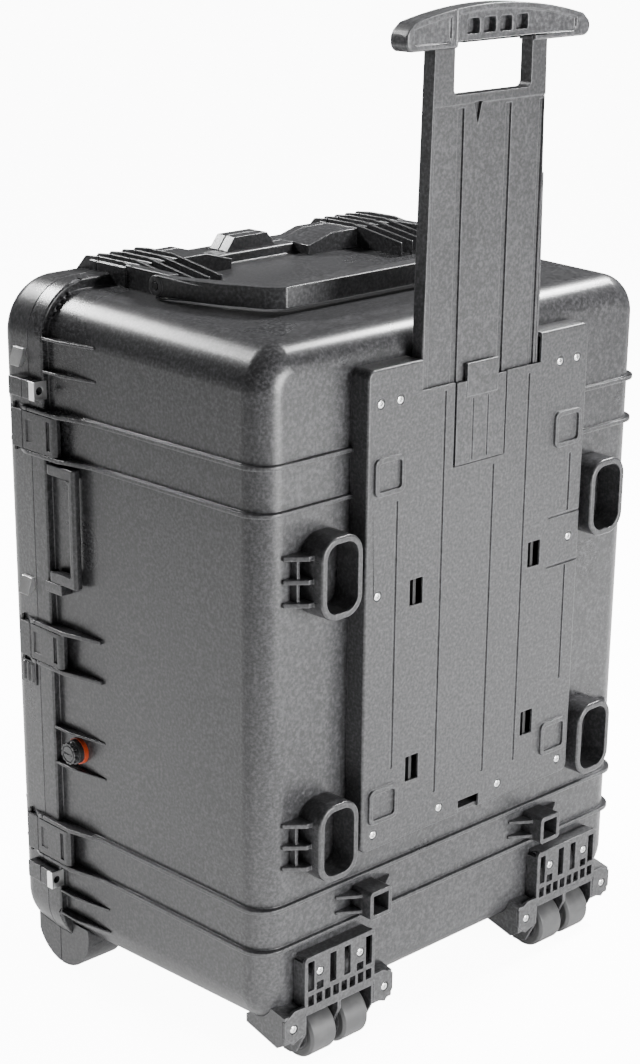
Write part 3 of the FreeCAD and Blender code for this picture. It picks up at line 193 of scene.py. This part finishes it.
def moulded(name, level, rough, grain_mm, depth_mm, wear_and_highlight=0.5):
    """Moulded plastic: fine spark-eroded grain, slow changes of tone, handling marks, and edges painted
    lighter in patches, partly worn plastic and partly a painted highlight.
    """

    def shade(times, lift=0.0):
        return grey(level * times + lift, PLASTIC_TINT)

    finish = Shader(name)
    slow = finish.noise(SLOW_SCALE)
    speck = finish.noise(1000.0 / grain_mm, 2.0, 0.6)
    tone = finish.mix(finish.remap(slow, SLOW_FADE), shade(SLOW_DARK_TONE), shade(SLOW_PALE_TONE))
    tone = finish.mix(finish.remap(speck, SPECK_FADE, (0.0, SPECK_SHARE)), tone, shade(SPECK_TONE))
    mottle = finish.noise(1000.0 / MOTTLE_MM, 1.0, 0.5)
    dark = finish.remap(mottle, MOTTLE_DARK_FADE, (0.0, MOTTLE_DARK_SHARE))
    tone = finish.mix(dark, tone, shade(MOTTLE_DARK_TONE))
    pale = finish.remap(mottle, MOTTLE_PALE_FADE, (0.0, MOTTLE_PALE_SHARE))
    tone = finish.mix(pale, tone, shade(MOTTLE_PALE_TONE))
    scuffs = finish.remap(finish.noise(SCUFF_SCALE, 6.0, 0.75, SCUFF_STRETCH), SCUFF_FADE)
    # Painted highlight and worn plastic on the edges, stronger in some patches.
    worn_highlit_patches = finish.remap(finish.noise(WORN_HIGHLIT_PATCH_SCALE), WORN_HIGHLIT_PATCH_FADE, (WORN_HIGHLIT_LEAST, wear_and_highlight))
    worn_and_highlit_edges = finish.maths("MULTIPLY", finish.edges(WORN_HIGHLIT_EDGE_MM * MM), worn_highlit_patches)
    finish.paint("Base Color", finish.mix(worn_and_highlit_edges, tone, shade(WORN_HIGHLIT_TONE, WORN_HIGHLIT_LIFT)))
    base = finish.remap(slow, ROUGH_FADE, (rough - ROUGH_SWING, rough + ROUGH_SWING))
    finish.paint("Roughness", finish.maths("ADD", base, finish.maths("MULTIPLY", scuffs, SCUFF_ROUGH)))
    grain = finish.cells(700.0 / grain_mm)
    finish.relief(finish.maths("ADD", grain, finish.maths("MULTIPLY", speck, SPECK_HEIGHT)), depth_mm)
    return finish.material


# ---------------------------------------------------------------- metal

BRUSH_SCALE = 900.0
BRUSH_DARK_TONE = 0.86
BRUSH_PALE_TONE = 1.1
BRUSH_FADE = (0.3, 0.7)
BRUSH_ROUGH = 0.06
BRUSH_DEPTH_MM = 0.02
SMEAR_SCALE = 60.0
SMEAR_FADE = (0.4, 0.7)
SMEAR_ROUGH = 0.07


def metal(name, level, rough, brush):
    """Metal with a fine brush along one direction and faint smears."""
    finish = Shader(name)
    finish.surface.inputs["Metallic"].default_value = 1.0
    lines = finish.noise(BRUSH_SCALE, 3.0, 0.6, brush)
    smears = finish.noise(SMEAR_SCALE, 4.0)
    dark, pale = grey(level * BRUSH_DARK_TONE), grey(min(1.0, level * BRUSH_PALE_TONE))
    finish.paint("Base Color", finish.mix(lines, dark, pale))
    marks = finish.maths("MULTIPLY", finish.remap(smears, SMEAR_FADE), SMEAR_ROUGH)
    brushed = finish.remap(lines, BRUSH_FADE, (rough - BRUSH_ROUGH, rough + BRUSH_ROUGH))
    finish.paint("Roughness", finish.maths("ADD", brushed, marks))
    finish.relief(lines, BRUSH_DEPTH_MM)
    return finish.material


# ---------------------------------------------------------------- rubber and coloured plastic

RUBBER_TINT = 1.03
DUST_SCALE = 45.0
DUST_FADE = (0.45, 0.72)
DUST_TONE = 1.6
DUST_ROUGH = 0.15
RUBBER_EDGE_MM = 2.0
RUBBER_EDGE_SHARE = 0.5
RUBBER_EDGE_TONE = 2.6
RUBBER_GRAIN_SCALE = 2200.0
RUBBER_GRAIN_MM = 0.04

BLOTCH_SCALE = 90.0
BLOTCH_TONE = 0.75
BLOTCH_FADE = (0.3, 0.7)
BLOTCH_SMOOTHER = 0.05
BLOTCH_ROUGHER = 0.08
RIPPLE_SCALE = 1500.0
RIPPLE_MM = 0.03


def rolled(name, level, rough):
    """Cast polyurethane or rubber with a slight bloom, dusty patches and worn edges."""
    finish = Shader(name)
    dust = finish.remap(finish.noise(DUST_SCALE, 5.0, 0.65), DUST_FADE)
    tone = finish.mix(dust, grey(level, RUBBER_TINT), grey(level * DUST_TONE))
    worn = finish.maths("MULTIPLY", finish.edges(RUBBER_EDGE_MM * MM), RUBBER_EDGE_SHARE)
    finish.paint("Base Color", finish.mix(worn, tone, grey(level * RUBBER_EDGE_TONE)))
    finish.paint("Roughness", finish.remap(dust, UNIT, (rough, rough + DUST_ROUGH)))
    finish.relief(finish.noise(RUBBER_GRAIN_SCALE, 2.0), RUBBER_GRAIN_MM)
    return finish.material


def glossy(name, colour, rough):
    """Coloured plastic with a faint moulded ripple."""
    finish = Shader(name)
    blotch = finish.noise(BLOTCH_SCALE)
    dark = tuple(part * BLOTCH_TONE for part in colour[:3]) + (1.0,)
    finish.paint("Base Color", finish.mix(blotch, dark, colour))
    roughness = (rough - BLOTCH_SMOOTHER, rough + BLOTCH_ROUGHER)
    finish.paint("Roughness", finish.remap(blotch, BLOTCH_FADE, roughness))
    finish.relief(finish.noise(RIPPLE_SCALE), RIPPLE_MM)
    return finish.material


FINISHES = {
    "moulded_shell": moulded("shell_plastic", 0.030, 0.30, 0.75, 0.05, wear_and_highlight=0.8),
    "latch_plastic": moulded("latch_plastic", 0.026, 0.34, 0.6, 0.03),
    "handle_plastic": moulded("handle_plastic", 0.030, 0.36, 0.6, 0.03, wear_and_highlight=0.7),
    "trolley_plastic": moulded("trolley_plastic", 0.032, 0.38, 0.7, 0.05, wear_and_highlight=0.95),
    "grip_plastic": moulded("grip_plastic", 0.05, 0.34, 0.7, 0.05, wear_and_highlight=0.7),
    "seal_rubber": rolled("seal_rubber", 0.02, 0.6),
    "inner_plastic": moulded("inner_plastic", 0.006, 0.6, 0.7, 0.03, wear_and_highlight=0.3),
    "blackened_steel": metal("blackened_steel", 0.06, 0.4, (1.0, 1.0, 0.2)),
    "stainless_steel": metal("stainless_steel", 0.9, 0.34, (1.0, 1.0, 0.06)),
    "bright_screws": metal("bright_screws", 0.86, 0.20, (1.0, 0.2, 1.0)),
    "wheel_tread": rolled("wheel_tread", 0.05, 0.42),
    "wheel_hub": moulded("wheel_hub", 0.05, 0.4, 0.7, 0.04),
    "valve_plastic": moulded("valve_plastic", 0.024, 0.36, 0.6, 0.03),
    "valve_orange": glossy("valve_orange", (0.62, 0.075, 0.02, 1.0), 0.35),
}

# ---------------------------------------------------------------- CAD nodes: finish and soft edges

EDGE_MM = {
    "moulded_shell": 0.9,
    "latch_plastic": 0.6,
    "handle_plastic": 1.6,
    "trolley_plastic": 0.7,
    "grip_plastic": 1.2,
    "inner_plastic": 0.2,
    "blackened_steel": 0.3,
    "seal_rubber": 0.2,
    "stainless_steel": 0.25,
    "bright_screws": 0.3,
    "wheel_tread": 0.8,
    "wheel_hub": 0.5,
    "valve_plastic": 0.5,
    "valve_orange": 0.3,
}
WELD_MM = 0.002
FLAT_DEGREES = 0.6
BEVEL_DEGREES = 32
BEVEL_STEPS = 2
FLAT_FACE_WEIGHT = 85


def smooth_group():
    """Geometry nodes that drop stored corner normals and shade every face smooth."""
    group = bpy.data.node_groups.new("smooth_faces", "GeometryNodeTree")
    group.interface.new_socket("Geometry", in_out="INPUT", socket_type="NodeSocketGeometry")
    group.interface.new_socket("Geometry", in_out="OUTPUT", socket_type="NodeSocketGeometry")
    start = group.nodes.new("NodeGroupInput")
    drop = group.nodes.new("GeometryNodeRemoveAttribute")
    drop.inputs["Name"].default_value = "custom_normal"
    shade = group.nodes.new("GeometryNodeSetShadeSmooth")
    end = group.nodes.new("NodeGroupOutput")
    group.links.new(start.outputs[0], drop.inputs["Geometry"])
    group.links.new(drop.outputs["Geometry"], shade.inputs["Geometry"])
    group.links.new(shade.outputs["Geometry"], end.inputs[0])
    return group


SMOOTH = smooth_group()


def soften(obj, width_mm):
    """Rounded edges and even shading on flat faces, as modifiers, so that the CAD mesh stays as it is."""
    obj.modifiers.new("smooth", "NODES").node_group = SMOOTH
    weld = obj.modifiers.new("weld", "WELD")
    weld.merge_threshold = WELD_MM * MM
    flat = obj.modifiers.new("flat", "DECIMATE")
    flat.decimate_type = "DISSOLVE"
    flat.angle_limit = math.radians(FLAT_DEGREES)
    bevel = obj.modifiers.new("edge", "BEVEL")
    bevel.width = width_mm * MM
    bevel.segments = BEVEL_STEPS
    bevel.limit_method = "ANGLE"
    bevel.angle_limit = math.radians(BEVEL_DEGREES)
    bevel.use_clamp_overlap = False
    flat_faces = obj.modifiers.new("flat_faces", "WEIGHTED_NORMAL")
    flat_faces.mode = "FACE_AREA"
    flat_faces.weight = FLAT_FACE_WEIGHT


def dress(name, slot):
    obj = NODES[name]
    obj.data.materials.clear()
    obj.data.materials.append(FINISHES[slot])
    soften(obj, EDGE_MM[slot])


for entry in frame["record"]["subparts"]:
    dress(entry["node"], entry["material_slot"])

# ---------------------------------------------------------------- screws with star sockets

SAME_POINT_MM = 0.005
PLACE_DIGITS = 4
SCREW_STEPS = 36
SOCKET_LOBES = 6
LOBE_REACH = 0.17
CREASE_DEGREES = 35

# Share of the head's radius, depth behind its front in mm, and 1 where the ring follows the socket's lobes.
SCREW_PROFILE = (
    (1.0, 1.6, 0),
    (1.0, 0.7, 0),
    (0.93, 0.3, 0),
    (0.72, 0.0, 0),
    (0.50, 0.05, 1),
    (0.44, 0.3, 1),
    (0.40, 1.3, 1),
)


def islands(name):
    """Lowest and highest corner of each separate solid of a CAD node."""
    shape = bmesh.new()
    shape.from_mesh(NODES[name].data)
    bmesh.ops.remove_doubles(shape, verts=shape.verts, dist=SAME_POINT_MM * MM)
    left = set(shape.verts)
    found = []
    while left:
        stack, group = [left.pop()], []
        while stack:
            vert = stack.pop()
            group.append(NODES[name].matrix_world @ vert.co)
            for edge in vert.link_edges:
                other = edge.other_vert(vert)
                if other in left:
                    left.remove(other)
                    stack.append(other)
        found.append((Vector([min(p[i] for p in group) for i in range(3)]),
                      Vector([max(p[i] for p in group) for i in range(3)])))
    shape.free()
    return sorted(found, key=lambda pair: (round(pair[0].z, PLACE_DIGITS), round(pair[0].x, PLACE_DIGITS)))


def screw_head(shape, low, high):
    """Domed head with a six-lobed socket, in the space of one CAD screw, facing -Y."""
    centre_x, centre_z = (low.x + high.x) / 2, (low.z + high.z) / 2
    radius = (high.x - low.x) / 2
    rings = []
    for share, depth_mm, lobed in SCREW_PROFILE:
        ring = []
        for step in range(SCREW_STEPS):
            angle = 2 * math.pi * step / SCREW_STEPS
            reach = radius * share * (1 + LOBE_REACH * lobed * math.cos(SOCKET_LOBES * angle))
            across, up = reach * math.cos(angle), reach * math.sin(angle)
            ring.append(shape.verts.new((centre_x + across, low.y + depth_mm * MM, centre_z + up)))
        rings.append(ring)
    for first, second in zip(rings, rings[1:]):
        for step in range(SCREW_STEPS):
            after = (step + 1) % SCREW_STEPS
            shape.faces.new((first[step], first[after], second[after], second[step]))
    shape.faces.new(rings[0])
    shape.faces.new(rings[-1])


def make_screws(node, body):
    mesh = bpy.data.meshes.new(node + "_heads")
    shape = bmesh.new()
    for low, high in islands(node):
        screw_head(shape, low, high)
    bmesh.ops.recalc_face_normals(shape, faces=shape.faces)
    for face in shape.faces:
        face.smooth = True
    shape.to_mesh(mesh)
    shape.free()
    mesh.set_sharp_from_angle(angle=math.radians(CREASE_DEGREES))
    mesh.materials.append(FINISHES["bright_screws"])
    piece = bpy.data.objects.new(node + "_heads", mesh)
    bpy.context.scene.collection.objects.link(piece)
    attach(piece, body)
    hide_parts(node)


make_screws("trolley_screws", "case")
make_screws("bracket_screws", "case")

# ---------------------------------------------------------------- floor and backdrop

FLOOR_HALF = 40.0
FLOOR_LEVEL = 0.9
FLOOR_ROUGH = 0.8
FLOOR_SEEN = 11.0
# Painted pool of light: the floor glows around this point and fades out with distance.
GLOW_CENTRE = (-0.55, -0.25, 0.0)
GLOW_REACH = (0.1, 0.8)
GLOW_STRENGTH = (1.7, 0.1)

WORLD_HEIGHTS = (-0.1, 0.9)
WORLD_STRENGTH = (0.012, 0.2)
WORLD_SEEN = 60.0


def floor_paper():
    """Matt paper with a painted pool of light: it glows most near the left foot of the case and lights that
    side, and is paler where it is seen directly.
    """
    finish = Shader("floor_paper")
    finish.surface.inputs["Base Color"].default_value = grey(FLOOR_LEVEL)
    finish.surface.inputs["Roughness"].default_value = FLOOR_ROUGH
    finish.surface.inputs["Emission Color"].default_value = grey(1.0)
    away = finish.add("ShaderNodeVectorMath", operation="DISTANCE")
    finish.join(finish.place, away.inputs[0])
    away.inputs[1].default_value = GLOW_CENTRE
    glow = finish.remap(away.outputs["Value"], GLOW_REACH, GLOW_STRENGTH)
    path = finish.add("ShaderNodeLightPath")
    direct = finish.maths("MULTIPLY", path.outputs["Is Camera Ray"], FLOOR_SEEN)
    finish.paint("Emission Strength", finish.maths("MAXIMUM", glow, direct))
    return finish.material


def make_floor():
    mesh = bpy.data.meshes.new("floor")
    shape = bmesh.new()
    bmesh.ops.create_grid(shape, x_segments=1, y_segments=1, size=FLOOR_HALF)
    shape.to_mesh(mesh)
    shape.free()
    floor = bpy.data.objects.new("floor", mesh)
    bpy.context.scene.collection.objects.link(floor)
    mesh.materials.append(floor_paper())


def make_world():
    """Studio walls that brighten upward, with a pale backdrop where they are seen directly."""
    world = bpy.data.worlds.new("studio")
    world.use_nodes = True
    nodes, links = world.node_tree.nodes, world.node_tree.links
    nodes["Background"].inputs["Color"].default_value = grey(1.0)
    place = nodes.new("ShaderNodeTexCoord")
    split = nodes.new("ShaderNodeSeparateXYZ")
    ramp = nodes.new("ShaderNodeMapRange")
    set_range(ramp, WORLD_HEIGHTS, WORLD_STRENGTH)
    path = nodes.new("ShaderNodeLightPath")
    pick = nodes.new("ShaderNodeMix")
    pick.inputs["B"].default_value = WORLD_SEEN
    links.new(place.outputs["Generated"], split.inputs["Vector"])
    links.new(split.outputs["Z"], ramp.inputs["Value"])
    links.new(path.outputs["Is Camera Ray"], pick.inputs["Factor"])
    links.new(ramp.outputs["Result"], pick.inputs["A"])
    links.new(pick.outputs["Result"], nodes["Background"].inputs["Strength"])
    bpy.context.scene.world = world


# ---------------------------------------------------------------- lights and camera

CASE_LOW = (0.0, 0.0, 0.3)
CASE_MIDDLE = (0.0, 0.0, 0.45)

# Name, place, what it points at, width and height, power in watts.
LIGHTS = (
    ("key", (0.8, -3.4, 0.8), CASE_LOW, (1.6, 1.5), 238),
    ("edge", (2.0, -0.2, 2.6), CASE_MIDDLE, (0.7, 0.5), 210),
    ("rear", (-0.5, 2.4, 2.6), CASE_MIDDLE, (1.2, 0.4), 160),
)

SENSOR_MM = 36.0
LENS_MM = 73.85
SHIFT_X = 0.0798
SHIFT_Y = 0.0917
CAMERA_PLACE = (-1.6166, -1.6508, 1.2397)
CAMERA_TURN = -0.7269
CAMERA_DOWN = 0.3563
CAMERA_ROLL = -0.0046


def soft_light(name, place, target, size, power):
    lamp = bpy.data.lights.new(name, "AREA")
    lamp.shape = "RECTANGLE"
    lamp.size, lamp.size_y = size
    lamp.energy = power
    obj = bpy.data.objects.new(name, lamp)
    bpy.context.scene.collection.objects.link(obj)
    obj.location = place
    obj.rotation_mode = "QUATERNION"
    obj.rotation_quaternion = (Vector(target) - Vector(place)).to_track_quat("-Z", "Y")


def make_camera():
    lens = bpy.data.cameras.new("camera")
    lens.sensor_width = SENSOR_MM
    lens.lens = LENS_MM
    lens.shift_x = SHIFT_X
    lens.shift_y = SHIFT_Y
    camera = bpy.data.objects.new("camera", lens)
    bpy.context.scene.collection.objects.link(camera)
    turn = Matrix.Rotation(CAMERA_TURN, 4, "Z")
    tilt = Matrix.Rotation(math.pi / 2 - CAMERA_DOWN, 4, "X")
    roll = Matrix.Rotation(CAMERA_ROLL, 4, "Z")
    camera.matrix_world = Matrix.Translation(CAMERA_PLACE) @ turn @ tilt @ roll
    bpy.context.scene.camera = camera


make_floor()
make_world()
for light in LIGHTS:
    soft_light(*light)
make_camera()
